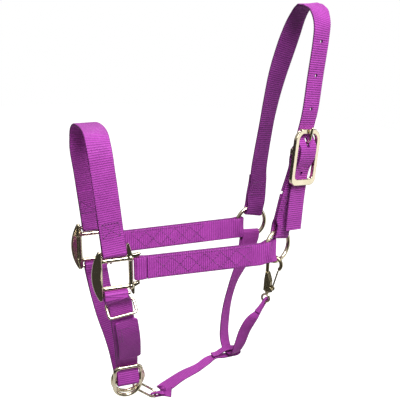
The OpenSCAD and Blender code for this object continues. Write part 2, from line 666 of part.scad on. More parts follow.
// Crossed zig-zag rows along a cheek strap, drawn in the plane of the strap
module cheek_seams(length) {
    step = 18;
    rows = floor(length / step);
    reach = 9;
    for (i = [0 : rows - 1], s = [-1, 1]) {
        up = s * (i % 2 == 0 ? 1 : -1);
        seam([i * step, up * reach], [(i + 1) * step, -up * reach]);
    }
    for (s = [-1, 1]) seam([0, s * (reach + 1.6)], [rows * step, s * (reach + 1.6)]);
}

module box_seam(w, h) {
    for (s = [-1, 1]) {
        seam([-w / 2, s * h / 2], [w / 2, s * h / 2]);
        seam([s * w / 2, -h / 2], [s * w / 2, h / 2]);
        seam([-w / 2, -s * h / 2], [w / 2, s * h / 2]);
    }
}

module raised(out) {
    rotate([90, 0, 0]) translate([0, 0, out]) linear_extrude(thread_t) children();
}

module cheek_stitching(bar, end, z, side) {
    run = [end.x - bar.x, end.y - bar.y];
    turn = atan2(run.y, run.x);
    translate([bar.x, bar.y, z]) rotate([0, 0, turn]) translate([18, 0, 0])
        raised(side > 0 ? -cheek_t / 2 - thread_t - 0.02 : cheek_t / 2 + 0.02) cheek_seams(norm(run) - 26);
}

module near_cheek_stitching() {
    color(THREAD) for (s = [-1, 1])
        cheek_stitching(near_cheek_bar, near_bend, near_cheek_z, s);
}
module far_cheek_stitching() {
    color(THREAD) for (s = [-1, 1])
        cheek_stitching(far_cheek_bar, far_cheek_end, far_cheek_z, s);
}

seam_off = strap_t / 2 + 0.08;
module noseband_stitching() {
    color(THREAD) for (s = [-1, 1])
        translate([s < 0 ? -240 : -243.5, s * nose_out, -211]) rotate([0, -4.5, 0])
            raised(s < 0 ? seam_off : -seam_off - thread_t) box_seam(18, 12);
}

// Children stand at a point with their X along x and their Z along z
module stood(at, x, z) {
    y = cross(z, x);
    multmatrix([[x.x, y.x, z.x, at.x], [x.y, y.y, z.y, at.y], [x.z, y.z, z.z, at.z], [0, 0, 0, 1]])
        children();
}

module crown_stitching() {
    color(THREAD) stood(at_crown(24, 0) - [0.6, 0, 0], unit(across(turned(X, 12), crown_up)), crown_up)
        raised(seam_off + 0.6) box_seam(13, 10);
}

module buckle_strap_stitching() {
    color(THREAD) stood(on_run(0.36, run_out), unit(across(near_dir, strap_up)), strap_up)
        raised(seam_off) box_seam(16, 14);
}

// Rows of [x, y, z] just outside the chin strap beside its flap, and just outside the flap
chin_seam = [[-239.6, -40.5, -323.9], [-237.7, -37, -336], [-235.4, -31, -349.4]];
flap_seam = [[-235.2, -43, -325.7], [-233.2, -41.2, -335.8], [-231, -35.4, -349.2]];
module chin_stitching() {
    color(THREAD) for (route = [chin_seam, flap_seam])
        ribbon([for (p = route) row(p, X, seam_w)], thread_t);
}

noseband_strap();
near_square();
far_square();
near_cheek_strap();
far_cheek_strap();
near_ring();
far_ring();
crown_strap();
buckle_strap();
buckle_frame();
buckle_tongue();
chin_strap();
chin_flap();
chin_adjuster();
chin_dee();
lead_ring();
connector_link();
connector_strap();
throat_strap();
snap_eye();
snap_body();
snap_gate();
snap_gate_pin();
snap_gate_spring();
near_cheek_stitching();
far_cheek_stitching();
noseband_stitching();
crown_stitching();
buckle_strap_stitching();
chin_stitching();
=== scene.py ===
"""Looks of the flat webbing head halter: webbing, thread, cast fittings, floor, light and camera.

The straps follow the same routes as the CAD straps, in millimetres, and are turned to metres
when a mesh is made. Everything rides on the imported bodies.
"""
import math

import bpy
import numpy as np
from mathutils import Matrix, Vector
from mathutils.bvhtree import BVHTree


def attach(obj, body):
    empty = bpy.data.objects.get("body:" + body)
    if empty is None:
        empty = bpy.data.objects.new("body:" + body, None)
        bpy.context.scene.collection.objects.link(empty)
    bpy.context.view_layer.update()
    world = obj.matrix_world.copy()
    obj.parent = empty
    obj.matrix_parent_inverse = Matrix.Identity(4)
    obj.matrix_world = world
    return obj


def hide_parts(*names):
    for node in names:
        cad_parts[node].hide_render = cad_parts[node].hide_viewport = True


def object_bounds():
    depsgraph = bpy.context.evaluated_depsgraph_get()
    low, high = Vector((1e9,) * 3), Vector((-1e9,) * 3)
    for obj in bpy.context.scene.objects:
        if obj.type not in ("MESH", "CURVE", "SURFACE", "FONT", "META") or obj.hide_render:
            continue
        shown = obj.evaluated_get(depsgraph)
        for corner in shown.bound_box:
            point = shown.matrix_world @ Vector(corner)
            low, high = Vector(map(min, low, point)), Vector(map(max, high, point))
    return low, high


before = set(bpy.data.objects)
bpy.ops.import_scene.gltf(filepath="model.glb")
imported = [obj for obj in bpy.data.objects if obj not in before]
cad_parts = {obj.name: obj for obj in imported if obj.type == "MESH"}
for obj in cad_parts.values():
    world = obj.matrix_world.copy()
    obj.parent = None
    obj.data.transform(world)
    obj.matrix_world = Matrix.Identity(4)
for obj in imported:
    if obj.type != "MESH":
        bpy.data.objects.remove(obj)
cad_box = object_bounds()
MM = 0.001

# ---------- sizes, in millimetres ----------
STRAP_W, STRAP_T = 25.4, 2.4
NARROW_W, NARROW_T = 19.0, 2.0
RING_R, RING_WIRE = 18.0, 2.3
OUTER_R, OUTER_HALF = 1.7, 23.2
FIT = 0.3
PLY = STRAP_T + 0.4
RIB_PITCH = 2.35
FINE_PITCH = 1.6
RIB_STEPS = 5
TAIL = 56           # length of a strap's first sewn tail, which gets no painted shade on its inner side
INNER_SHADE = (0.52, 0.52, 0.54, 1)   # stands in for the shade on the inner side of the crown strap

# ---------- vectors and routes ----------
X, Y, Z = np.eye(3)


def vec(*v):
    return np.array(v, float)


def unit(v):
    return v / np.linalg.norm(v)


def cs(a):
    return math.cos(math.radians(a)), math.sin(math.radians(a))


def turned(v, a):
    c, s = cs(a)
    return vec(v[0] * c - v[1] * s, v[0] * s + v[1] * c, v[2])


def leaned(v, a):
    c, s = cs(a)
    return vec(v[0] * c + v[2] * s, v[1], v[2] * c - v[0] * s)


def tipped(v, a):
    c, s = cs(a)
    return vec(v[0], v[1] * c - v[2] * s, v[1] * s + v[2] * c)


def across(d, along):
    return unit(d - (d @ along) * along)


def row(p, d=X, w=STRAP_W):
    """One place on a strap's route: a point, the width direction and the width."""
    return np.concatenate([np.asarray(p, float), np.asarray(d, float), [w]])


def round_bar(at, up, out, d, r, drop, w=STRAP_W, last=0):
    """Half a turn round a bar, from the side of -out, past -up, to the side of +out."""
    turns = range(180, last - 1, -30)
    return [row(at + out * r * cs(a)[0] - up * (r * cs(a)[1] + drop), d, w) for a in turns]


def dense(rows, steps=12):
    """A smooth curve through the rows, as many short steps."""
    r = np.array(rows)
    out = []
    for i in range(len(r) - 1):
        a, b, c, d = r[max(i - 1, 0)], r[i], r[i + 1], r[min(i + 2, len(r) - 1)]
        for t in np.arange(steps) / steps:
            out.append(0.5 * (2 * b + (c - a) * t + (2 * a - 5 * b + 4 * c - d) * t * t
                              + (3 * b - 3 * c + d - a) * t ** 3))
    out.append(r[-1])
    return np.array(out)


def even(rows, pitch):
    """The rows' smooth curve, resampled in even steps of its length."""
    r = dense(rows)
    s = np.concatenate([[0], np.cumsum(np.linalg.norm(np.diff(r[:, :3], axis=0), axis=1))])
    n = max(4, round(s[-1] / pitch))
    at = np.linspace(0, s[-1], n + 1)
    return at, np.stack([np.interp(at, s, r[:, k]) for k in range(7)], axis=1)


def frames(r):
    """Tangent, width direction and normal at each row."""
    p = r[:, :3]
    t = np.gradient(p, axis=0)
    t /= np.linalg.norm(t, axis=1)[:, None]
    w = r[:, 3:6] - (r[:, 3:6] * t).sum(1)[:, None] * t
    w /= np.linalg.norm(w, axis=1)[:, None]
    return t, w, np.cross(t, w)


# ---------- meshes ----------
def new_object(name, verts, faces, material, body="halter", replaces=()):
    mesh = bpy.data.meshes.new(name)
    mesh.from_pydata((np.asarray(verts) * MM).tolist(), [], faces)
    mesh.update()
    ob = bpy.data.objects.new(name, mesh)
    bpy.context.scene.collection.objects.link(ob)
    ob.data.materials.append(material)
    mesh.polygons.foreach_set("use_smooth", [True] * len(mesh.polygons))
    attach(ob, body)
    if replaces:
        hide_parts(*replaces)
    return ob


def strap_profile(half_t):
    """The rounded edge, as (inset, height) points, and the even steps across the flat."""
    edge = [(half_t * (1 - math.cos(a)), half_t * math.sin(a)) for a in np.radians([18, 42, 68, 90])]
    flat = np.linspace(0, 1, 12)
    return edge, flat


def section_points(half_w, half_t):
    """(across, height) of each point round a section, starting at one edge and going over the top."""
    edge, flat = strap_profile(half_t)
    inner = half_w - half_t
    top = [(-half_w + e, h) for e, h in edge]
    top += [(-inner + 2 * inner * f, half_t) for f in flat[1:-1]]
    top += [(half_w - e, h) for e, h in reversed(edge)]
    points = [(-half_w, 0)] + top + [(half_w, 0)] + [(a, -h) for a, h in reversed(top)]
    return np.array(points)


def webbing(name, rows, thick, material, replaces=(), pitch=RIB_PITCH, rib=0.13, scallop=0.16,
            round_start=0, round_end=0, bend=None, inner=0):
    """A woven strap swept along a route: cross ribs, a scalloped selvedge and rounded edges."""
    at, r = even(rows, pitch / RIB_STEPS)
    t, w, n = frames(r)
    wave = np.abs(np.sin(math.pi * at / pitch)) ** 0.6
    half_t = thick / 2 - rib / 2
    verts, uvs, shares, inner_shade_mask = [], [], [], []
    length = at[-1]
    for i, s in enumerate(at):
        half_w = r[i, 6] / 2 - scallop * (1 - wave[i])
        for reach, gone in ((round_start, s), (round_end, length - s)):
            if reach and gone < reach:
                half_w *= 0.62 + 0.38 * math.sqrt(1 - (1 - gone / reach) ** 2)
        sec = section_points(half_w, half_t)
        lift = rib * (wave[i] - 0.5) * np.sign(sec[:, 1]) * (np.abs(sec[:, 1]) > half_t * 0.6)
        height = sec[:, 1] + lift
        verts.append(r[i, :3] + sec[:, :1] * w[i] + height[:, None] * n[i])
        uvs.append(np.stack([sec[:, 0], np.full(len(sec), s)], axis=1))
        shares.append(np.abs(sec[:, 0]) / (r[i, 6] / 2))
        # painted shade mask: the side that inner picks, past the first TAIL millimetres
        inner_shade_mask.append((sec[:, 1] * inner > 0.3) * float(s > TAIL))
    k = len(verts[0])
    count = len(verts)
    grid = np.array(verts)
    if bend is not None:
        grid = bend(grid, at, r)
    ends = [grid[0].mean(0), grid[-1].mean(0)]
    flat = np.concatenate([grid.reshape(-1, 3), ends])
    uv = np.concatenate([np.array(uvs).reshape(-1, 2), [[0, 0], [0, length]]])
    share = np.concatenate([np.array(shares).ravel(), [0.9, 0.9]])
    faces = [(i * k + j, i * k + (j + 1) % k, (i + 1) * k + (j + 1) % k, (i + 1) * k + j)
             for i in range(count - 1) for j in range(k)]
    a, b, last = count * k, count * k + 1, (count - 1) * k
    faces += [(a, (j + 1) % k, j) for j in range(k)]
    faces += [(b, last + j, last + (j + 1) % k) for j in range(k)]
    ob = new_object(name, flat, faces, material, replaces=replaces)
    layer = ob.data.uv_layers.new(name="strap")
    corner = np.zeros(len(ob.data.loops), np.int32)
    ob.data.loops.foreach_get("vertex_index", corner)
    layer.data.foreach_set("uv", uv[corner].ravel())
    edge = ob.data.attributes.new("edge", "FLOAT", "POINT")
    edge.data.foreach_set("value", share.astype(np.float32))
    inside = ob.data.attributes.new("inside", "FLOAT", "POINT")
    inside.data.foreach_set("value", np.concatenate([np.ravel(inner_shade_mask), [0, 0]]).astype(np.float32))
    return ob


# ---------- materials ----------
class Nodes:
    """Small helper that builds a node tree from left to right."""

    def __init__(self, name):
        self.material = bpy.data.materials.new(name)
        self.material.use_nodes = True
        self.tree = self.material.node_tree
        self.tree.nodes.clear()
        self.shader = self.add("ShaderNodeBsdfPrincipled")
        out = self.add("ShaderNodeOutputMaterial")
        self.tree.links.new(self.shader.outputs[0], out.inputs[0])

    def add(self, kind, **values):
        node = self.tree.nodes.new(kind)
        for k, v in values.items():
            setattr(node, k, v)
        return node

    def put(self, socket, value):
        if isinstance(value, bpy.types.NodeSocket):
            self.tree.links.new(value, socket)
        else:
            socket.default_value = value

    def math(self, op, a, b=0.0, c=0.0, clamp=False):
        node = self.add("ShaderNodeMath", operation=op, use_clamp=clamp)
        for socket, value in zip(node.inputs, (a, b, c)):
            self.put(socket, value)
        return node.outputs[0]

    def mix(self, factor, a, b, blend="MIX"):
        node = self.add("ShaderNodeMix", data_type="RGBA", blend_type=blend)
        self.put(node.inputs[0], factor)
        self.put(node.inputs[6], a)
        self.put(node.inputs[7], b)
        return node.outputs[2]

    def noise(self, vector, scale, detail=2.0, rough=0.5):
        node = self.add("ShaderNodeTexNoise")
        self.put(node.inputs["Vector"], vector)
        node.inputs["Scale"].default_value = scale
        node.inputs["Detail"].default_value = detail
        node.inputs["Roughness"].default_value = rough
        return node.outputs[0]

    def spread(self, value, low, high, to_low=0.0, to_high=1.0):
        node = self.add("ShaderNodeMapRange")
        self.put(node.inputs[0], value)
        for i, v in enumerate((low, high, to_low, to_high)):
            node.inputs[i + 1].default_value = v
        return node.outputs[0]

    def bump(self, height, strength, distance):
        node = self.add("ShaderNodeBump")
        node.inputs["Strength"].default_value = strength
        node.inputs["Distance"].default_value = distance
        self.put(node.inputs["Height"], height)
        self.put(self.shader.inputs["Normal"], node.outputs[0])

    def set(self, **values):
        for k, v in values.items():
            self.put(self.shader.inputs[k.replace("_", " ")], v)


def rgba(r, g, b):
    """An sRGB colour of 0 to 255 as linear RGBA."""
    def line(c):
        c /= 255
        return c / 12.92 if c <= 0.04045 else ((c + 0.055) / 1.055) ** 2.4
    return (line(r), line(g), line(b), 1)


def webbing_material(name, pitch, warp, mid, groove_shade_and_blotch, light, depth):
    """Ribbed nylon: ribs across the strap, warp ends along it, a darker selvedge and silky ribs, with painted
    shade in the grooves between the ribs and a painted highlight on the crests of the warp ends.
    """
    m = Nodes(name)
    uv = m.add("ShaderNodeUVMap", uv_map="strap").outputs[0]
    parts = m.add("ShaderNodeSeparateXYZ")
    m.put(parts.inputs[0], uv)
    u, v = parts.outputs[0], parts.outputs[1]
    object_at = m.add("ShaderNodeTexCoord").outputs["Object"]
    rib = m.math("ABSOLUTE", m.math("SINE", m.math("MULTIPLY", v, math.pi / pitch)))
    shift = m.math("MULTIPLY", m.math("FLOOR", m.math("DIVIDE", v, pitch)), warp / 2)
    ends = m.math("ABSOLUTE", m.math("SINE", m.math("MULTIPLY", m.math("ADD", u, shift),
                                                     math.pi / warp)))
    uneven = m.noise(object_at, 60, 3)
    threads = m.noise(object_at, 900, 2)
    # painted shade in the grooves between ribs, then a painted highlight on the crests of the warp ends; the
    # two noises after that are random tone
    groove_shade = m.spread(m.math("POWER", rib, 0.7), 0.15, 0.85, 1.0, 0.0)
    tone = m.mix(groove_shade, mid, groove_shade_and_blotch)
    tone = m.mix(m.math("MULTIPLY", m.spread(ends, 0.55, 1.0), 0.35), tone, light)
    tone = m.mix(m.spread(uneven, 0.35, 0.75, 0.0, 0.28), tone, groove_shade_and_blotch)
    tone = m.mix(m.spread(threads, 0.5, 0.8, 0.0, 0.35), tone, light)
    # painted shade: the inner side of the strap is multiplied darker
    inside = m.add("ShaderNodeAttribute", attribute_name="inside").outputs["Fac"]
    tone = m.mix(inside, tone, INNER_SHADE, "MULTIPLY")
    edge = m.add("ShaderNodeAttribute", attribute_name="edge").outputs["Fac"]
    tone = m.mix(m.spread(edge, 0.93, 0.985, 0.0, 0.8), tone, rgba(84, 22, 84))
    m.set(Base_Color=tone, Roughness=m.spread(ends, 0.0, 1.0, 0.62, 0.44),
          Specular_IOR_Level=0.18, Sheen_Weight=0.04, Sheen_Roughness=0.4,
          Sheen_Tint=rgba(240, 170, 240))
    height = m.math("ADD", m.math("MULTIPLY", rib, 0.75), m.math("MULTIPLY", ends, 0.35))
    m.bump(m.math("ADD", height, m.math("MULTIPLY", threads, 0.25)), 0.75, depth)
    return m.material


def thread_material():
    m = Nodes("thread")
    at = m.add("ShaderNodeTexCoord").outputs["Object"]
    twist = m.add("ShaderNodeTexWave", wave_type="BANDS", bands_direction="DIAGONAL")
    m.put(twist.inputs["Vector"], at)
    twist.inputs["Scale"].default_value = 900
    m.set(Base_Color=m.mix(twist.outputs[1], rgba(92, 22, 94), rgba(158, 60, 158)),
          Roughness=m.spread(m.noise(at, 700), 0.3, 0.7, 0.35, 0.55), Sheen_Weight=0.2)
    m.bump(twist.outputs[1], 0.5, 0.00015)
    return m.material


def metal_material(name, bright, dull, rough, grain, worn=0.35):
    """Polished casting: fine orange peel, faint polishing marks and broad duller patches at random."""
    m = Nodes(name)
    at = m.add("ShaderNodeTexCoord").outputs["Object"]
    peel = m.noise(at, 260, 3, 0.55)
    broad = m.noise(at, 55, 4, 0.6)
    stretch = m.add("ShaderNodeMapping")
    stretch.inputs["Scale"].default_value = (400, 2600, 400)
    m.put(stretch.inputs[0], at)
    marks = m.noise(stretch.outputs[0], 1.0, 3, 0.6)
    tone = m.mix(m.spread(broad, 0.35, 0.7, 0.0, worn), bright, dull)
    m.set(Base_Color=tone, Metallic=1.0,
          Roughness=m.math("ADD", m.spread(marks, 0.3, 0.7, rough * 0.75, rough * 1.3),
                           m.spread(broad, 0.45, 0.8, 0.0, 0.07)))
    m.bump(m.math("ADD", peel, m.math("MULTIPLY", marks, 0.3)), grain, 0.0002)
    return m.material


PURPLE = webbing_material("webbing", RIB_PITCH, 1.5, rgba(190, 72, 188), rgba(104, 24, 106),
                          rgba(214, 106, 212), 0.0006)
NARROW = webbing_material("narrow_webbing", FINE_PITCH, 1.0, rgba(176, 68, 172), rgba(118, 34, 118),
                          rgba(200, 96, 196), 0.0003)
THREAD = thread_material()
BRASS = metal_material("cast_brass", rgba(240, 230, 202), rgba(206, 190, 150), 0.16, 0.03)
SNAP = metal_material("snap_metal", rgba(190, 178, 144), rgba(130, 118, 88), 0.24, 0.1)
STEEL = metal_material("spring_steel", rgba(120, 114, 104), rgba(70, 66, 60), 0.3, 0.1)

# ---------- places, as the CAD has them ----------
SIDE_Y = 45.0
NEAR_SQUARE, FAR_SQUARE = vec(-235.5, -SIDE_Y, -262.5), vec(-238, SIDE_Y, -262.5)
NEAR_RING, FAR_RING = vec(-51, -42, -256), vec(-45, SIDE_Y, -256)
NEAR_TURN = 22
NEAR_DIR = turned(X, NEAR_TURN)
BUCKLE, BUCKLE_LEAN = vec(-27, -49, -155), 8


def at_buckle(w, out, h):
    return BUCKLE + turned(leaned(vec(w, -out, h), BUCKLE_LEAN), NEAR_TURN)


# ---------- noseband ----------
NOSE_SHAPE = [(-44.8, -150, -246), (-44, -137, -247.2), (-39, -125.5, -248), (-28, -118.5, -247.5),
              (-14, -116, -247), (0, -115.5, -247), (14, -116, -247.5), (28, -118.5, -248),
              (39, -125.5, -248.5), (44, -137, -248.6), (44.8, -150, -248.6)]
TURN_R = OUTER_R + FIT + STRAP_T / 2
NOSE_BAR_Z = NEAR_SQUARE[2] + OUTER_HALF
NOSE_OUT = SIDE_Y + 1


def nose_end(side, bar_x, top_x):
    lean = (top_x - bar_x) / (-150 - NOSE_BAR_Z)

    def x(z):
        return bar_x + lean * (z - NOSE_BAR_Z)
    rows = [row((x(z), side * (NOSE_OUT + (1 if z < -230 else 0)), z)) for z in (-172, -198, -218, -232)]
    rows += [row((bar_x, side * (SIDE_Y + TURN_R * cs(a)[0]), NOSE_BAR_Z - 0.5 - TURN_R * cs(a)[1]))
             for a in range(0, 181, 30)]
    return rows + [row((x(z), side * (NOSE_OUT - (3.1 if z < -230 else PLY)), z)) for z in (-232, -224, -196)]


webbing("noseband", nose_end(-1, NEAR_SQUARE[0] - 1.5, -246)[::-1]
        + [row((x, y, z)) for y, z, x in NOSE_SHAPE]
        + nose_end(1, FAR_SQUARE[0] - 0.8, -248), STRAP_T, PURPLE, ["noseband_strap"])


# ---------- cheek straps ----------
CHEEK_CUT = 9.6     # from the outer bar to the cut end of the outer ply
def cheek_rows(bar, bend, ring, turn, z, inner, side):
    """A doubled cheek strap in plan: outer ply from its cut end to the ring, round it, back inside
    and round the square's rear bar."""
    half = STRAP_T / 2 + 0.1
    run = unit(bend - bar)
    out = side * vec(-run[1], run[0], 0)
    if out[1] * side < 0:
        out = -out
    along = turned(X, turn)
    ring_out = side * turned(Y, turn)
    corner = unit(out + ring_out)
    end = ring - along * (inner + half)
    length = np.linalg.norm(bend - bar)

    def lift(p):
        return row((p[0], p[1], z), Z)
    rows = [lift(bar + run * CHEEK_CUT + out * (half + 0.7)),
            lift(bar + run * (CHEEK_CUT + 5) + out * (half + 0.25)),
            lift(bar + run * (CHEEK_CUT + 12) + out * half)]
    steps = np.linspace(CHEEK_CUT + 24, length - 6, 5)
    rows += [lift(bar + run * s + out * half) for s in steps]
    rows += [lift(bend + corner * half)]
    reach = np.linalg.norm(end - bend)
    rows += [lift(bend + along * s + ring_out * half) for s in np.linspace(6, reach, 4)]
    rows += [lift(end + along * half * cs(a)[0] + ring_out * half * cs(a)[1]) for a in (60, 30, 0, -30, -60)]
    rows += [lift(bend + along * s - ring_out * half) for s in np.linspace(reach, 6, 4)]
    rows += [lift(bend - corner * half)]
    rows += [lift(bar + run * s - out * half) for s in steps[::-1]]
    rows += [lift(bar + run * 11 - out * (half + 0.1)), lift(bar + run * 4 - out * (TURN_R - 0.5))]
    rows += [lift(bar - run * TURN_R * cs(a)[0] - out * TURN_R * cs(a)[1]) for a in (60, 30, 0, -30, -60)]
    rows += [lift(bar + run * 4 + out * (TURN_R - 0.5)),
             lift(bar + run * (CHEEK_CUT - 0.9) + out * (half + 0.05))]
    return rows


def over_ring(ring, turn, half):
    """Lifts the two plies of a strap's end over the wire of the ring inside them."""
    along, out = turned(X, turn), turned(Y, turn)

    def bend(grid, at, r):
        d = grid - ring
        u, v, z = d @ along, d @ out, d[..., 2]
        centre = (r[:, :3] - ring) @ out
        side = np.sign(centre)[:, None]
        away = np.abs(np.hypot(u, z) - RING_R)
        need = np.sqrt(np.clip((RING_WIRE + FIT + STRAP_T / 2) ** 2 - away ** 2, 0, None))
        soft = 2.2 * np.exp(-(away / 5.2) ** 2) + half
        lift = np.maximum(np.maximum(need, soft) - half, 0)
        near = (u > -RING_R - 12) & (u < 0) & (np.abs(centre)[:, None] > half * 0.6)
        fade = np.clip((u + RING_R + 12) / 8, 0, 1)
        return grid + (side * lift * near * fade)[..., None] * out
    return bend


CHEEK_HALF = STRAP_T / 2 + 0.1
NEAR_BAR = NEAR_SQUARE * vec(1, 1, 0) + vec(OUTER_HALF, 0, 0)
FAR_BAR = FAR_SQUARE * vec(1, 1, 0) + vec(OUTER_HALF, 0, 0)
NEAR_BEND, FAR_BEND = vec(-76, -52, 0), vec(-90, SIDE_Y, 0)
NEAR_CHEEK_Z, FAR_CHEEK_Z = -259.2, -261.4

webbing("near_cheek",
        cheek_rows(NEAR_BAR, NEAR_BEND, NEAR_RING * vec(1, 1, 0), NEAR_TURN, NEAR_CHEEK_Z, 4, -1),
        STRAP_T, PURPLE, ["near_cheek_strap"], bend=over_ring(NEAR_RING, NEAR_TURN, CHEEK_HALF))
webbing("far_cheek", cheek_rows(FAR_BAR, FAR_BEND, FAR_RING * vec(1, 1, 0), 0, FAR_CHEEK_Z, 11, 1),
        STRAP_T, PURPLE, ["far_cheek_strap"], bend=over_ring(FAR_RING, 0, CHEEK_HALF))

# ---------- crown strap ----------
FOLD_W = 21.5
CROWN_LEAN = 11
RING_TURN_R = RING_WIRE + FIT + STRAP_T / 2


def ring_sag(width, more):
    """How far a strap hangs past a round wire because its width spans the curve."""
    return RING_R - math.sqrt(RING_R ** 2 - width ** 2 / 4) + more


RING_DROP = ring_sag(FOLD_W, 1.1)
CROWN_UP = leaned(Z, CROWN_LEAN)
CROWN_LOOP = FAR_RING + RING_R * CROWN_UP


def at_crown(s, out, turn=0):
    return CROWN_LOOP + s * CROWN_UP + out * turned(Y, turn)


CROWN_FAR = [(-36.2, 43.5, -186, 20), (-28.5, 43.5, -138, 24), (-22.5, 44, -108, 20), (-15.5, 44, -79, 10),
             (-7.5, 44, -54, 4), (-0.5, 43, -33, 4), (3.5, 38, -16, 10), (4.5, 28, -5, 16),
             (3, 14, 0.4, 20), (0, 0, 1.2, 22)]
CROWN_NEAR = [(-3, -15, 0.4), (-5, -30, -4), (-7, -41, -16), (-9.5, -44.5, -34), (-14.5, -45.5, -69),
              (-19.5, -47, -104)]
BUCKLE_PASS = [(29, -1.9), (22.2, -1.8), (15, 2.6), (10.5, 5), (4, 5.6), (-3, 4.4), (-13, 0.2),
               (-21.5, -1.7), (-29, -1.9)]
CROWN_TAIL = [(-33.5, -49, -205), (-37, -51, -236)]
LOWER_HOLE = at_buckle(0.5, 0, -18)

crown_rows = [row(at_crown(42, PLY, 18) - 2 * X, turned(X, 18)),
              row(at_crown(32, PLY, 16) - X, turned(X, 16)),
              row(at_crown(16, PLY, 8), turned(X, 8)), row(at_crown(4, RING_TURN_R + 0.3), X, FOLD_W)]
crown_rows += round_bar(CROWN_LOOP, CROWN_UP, -Y, leaned(X, CROWN_LEAN), RING_TURN_R, RING_DROP, FOLD_W)
crown_rows += [row(at_crown(4, -RING_TURN_R), X, FOLD_W), row(at_crown(16, -0.4), turned(X, 8)),
               row(at_crown(32, 0) - X, turned(X, 16))]
crown_rows += [row(p[:3], turned(X, p[3])) for p in CROWN_FAR]
crown_rows += [row(p, NEAR_DIR) for p in CROWN_NEAR]
crown_rows += [row(at_buckle(0.5, out, h), NEAR_DIR) for h, out in BUCKLE_PASS]
crown_rows += [row(p, NEAR_DIR) for p in CROWN_TAIL]
crown = webbing("crown", crown_rows, STRAP_T, PURPLE, ["crown_strap"], inner=-1)

HOLE_R = 2.0
HOLES = [vec(*p) for p in CROWN_NEAR[3:]] + [LOWER_HOLE]


def cutter(at, turn, lean, points, depth=8):
    """A closed prism of an outline in the strap's plane, for cutting a hole."""
    k = len(points)
    verts = [at + turned(leaned(vec(a, side, b), lean), turn) for side in (-depth, depth) for a, b in points]
    faces = [tuple(range(k)), tuple(range(2 * k - 1, k - 1, -1))]
    faces += [(j, k + j, k + (j + 1) % k, (j + 1) % k) for j in range(k)]
    mesh = bpy.data.meshes.new("cutter")
    mesh.from_pydata((np.array(verts) * MM).tolist(), [], faces)
    ob = bpy.data.objects.new("cutter", mesh)
    bpy.context.scene.collection.objects.link(ob)
    return ob


def cut(ob, cutters):
    for c in cutters:
        m = ob.modifiers.new("cut", "BOOLEAN")
        m.object, m.operation, m.solver = c, "DIFFERENCE", "EXACT"
    dg = bpy.context.evaluated_depsgraph_get()
    mesh = bpy.data.meshes.new_from_object(ob.evaluated_get(dg))
    ob.modifiers.clear()
    ob.data = mesh
    for c in cutters:
        bpy.data.objects.remove(c)


ROUND = [(HOLE_R * cs(a)[0], HOLE_R * cs(a)[1]) for a in range(0, 360, 20)]
SLOT = [(2.2 * cs(a)[0], (19 if a < 180 else 13) + 2.2 * cs(a)[1]) for a in range(0, 360, 20)]
cut(crown, [cutter(h, NEAR_TURN, BUCKLE_LEAN, ROUND) for h in HOLES]
    + [cutter(BUCKLE, NEAR_TURN, BUCKLE_LEAN, SLOT)])

# ---------- buckle strap ----------
BUCKLE_STRAP_LEAN = 13
PIN_H, PIN_OUT, PIN_R = 6, -2, 2.1
RING_UP = turned(leaned(Z, BUCKLE_STRAP_LEAN), NEAR_TURN)
NEAR_TOP = NEAR_RING + RING_R * RING_UP
NEAR_OUT = turned(-Y, NEAR_TURN)
BAR_AT = at_buckle(-1.6, PIN_OUT, PIN_H)
STRAP_RUN = BAR_AT - NEAR_TOP
STRAP_UP = unit(STRAP_RUN)
STRAP_BOW, BOW_END = 2.4, 0.75
BAR_TURN_R = PIN_R + FIT + STRAP_T / 2
RUN_OUT = PLY / 2


def on_run(f, out):
    bow = STRAP_BOW * math.sin(math.pi * f / BOW_END) if f < BOW_END else 0
    return NEAR_TOP + f * STRAP_RUN + out * NEAR_OUT - bow * NEAR_DIR


ring_dir = turned(leaned(X, BUCKLE_STRAP_LEAN), NEAR_TURN)
pin_dir = turned(leaned(X, BUCKLE_LEAN), NEAR_TURN)
strap_rows = [row(on_run(0.47, -RUN_OUT), NEAR_DIR), row(on_run(0.2, -RUN_OUT), NEAR_DIR),
              row(on_run(0.07, -RING_TURN_R - 0.2), ring_dir, FOLD_W)]
strap_rows += round_bar(NEAR_TOP, RING_UP, NEAR_OUT, ring_dir, RING_TURN_R, RING_DROP, FOLD_W)
strap_rows += [row(on_run(0.07, RING_TURN_R + 0.2), ring_dir, FOLD_W), row(on_run(0.2, RUN_OUT), NEAR_DIR),
               row(on_run(0.5, RUN_OUT), NEAR_DIR), row(on_run(0.8, RUN_OUT), NEAR_DIR),
               row(on_run(0.91, BAR_TURN_R - 0.5), pin_dir)]
strap_rows += round_bar(BAR_AT, -STRAP_UP, -NEAR_OUT, pin_dir, BAR_TURN_R, 2)
strap_rows += [row(on_run(0.91, 0.5 - BAR_TURN_R), pin_dir), row(on_run(0.8, -RUN_OUT), NEAR_DIR),
               row(on_run(0.5, -RUN_OUT), NEAR_DIR)]
buckle_strap = webbing("buckle_loop", strap_rows, STRAP_T, PURPLE, ["buckle_strap"])
TONGUE_SLOT = [(0.5 - 2.6, 0.5), (0.5 + 2.6, 0.5), (0.5 + 2.6, 16.5), (0.5 - 2.6, 16.5)]
cut(buckle_strap, [cutter(BUCKLE, NEAR_TURN, BUCKLE_LEAN, TONGUE_SLOT, 14)])

# ---------- chin strap and flap ----------
CHIN_BAR_Z = NEAR_SQUARE[2] - OUTER_HALF
CHIN_X, FAR_CHIN_X = NEAR_SQUARE[0] - 1, FAR_SQUARE[0]
DEE_AT = vec(-216, -1, -414.5)
DEE_WIRE = 2.2
CHIN_NEAR = [(-230, -40.5, -312), (-226.5, -35, -335), (-222, -22, -362), (-218, -7, -384),
             (-216.3, -0.6, -395), (-216, -3.6, -406)]
CHIN_FAR = [(-216.1, 8, -416), (-216.4, 12.4, -410.5), (-217, 13.8, -404), (-218.5, 15.6, -394),
            (-220.5, 18.4, -381), (-224, 24.5, -364), (-230, 34, -340), (-234.5, 40.5, -314)]


def chin_side(side, a):
    return row((CHIN_X if side < 0 else FAR_CHIN_X, side * SIDE_Y + TURN_R * cs(a)[0],
                CHIN_BAR_Z + 0.6 + TURN_R * cs(a)[1]))


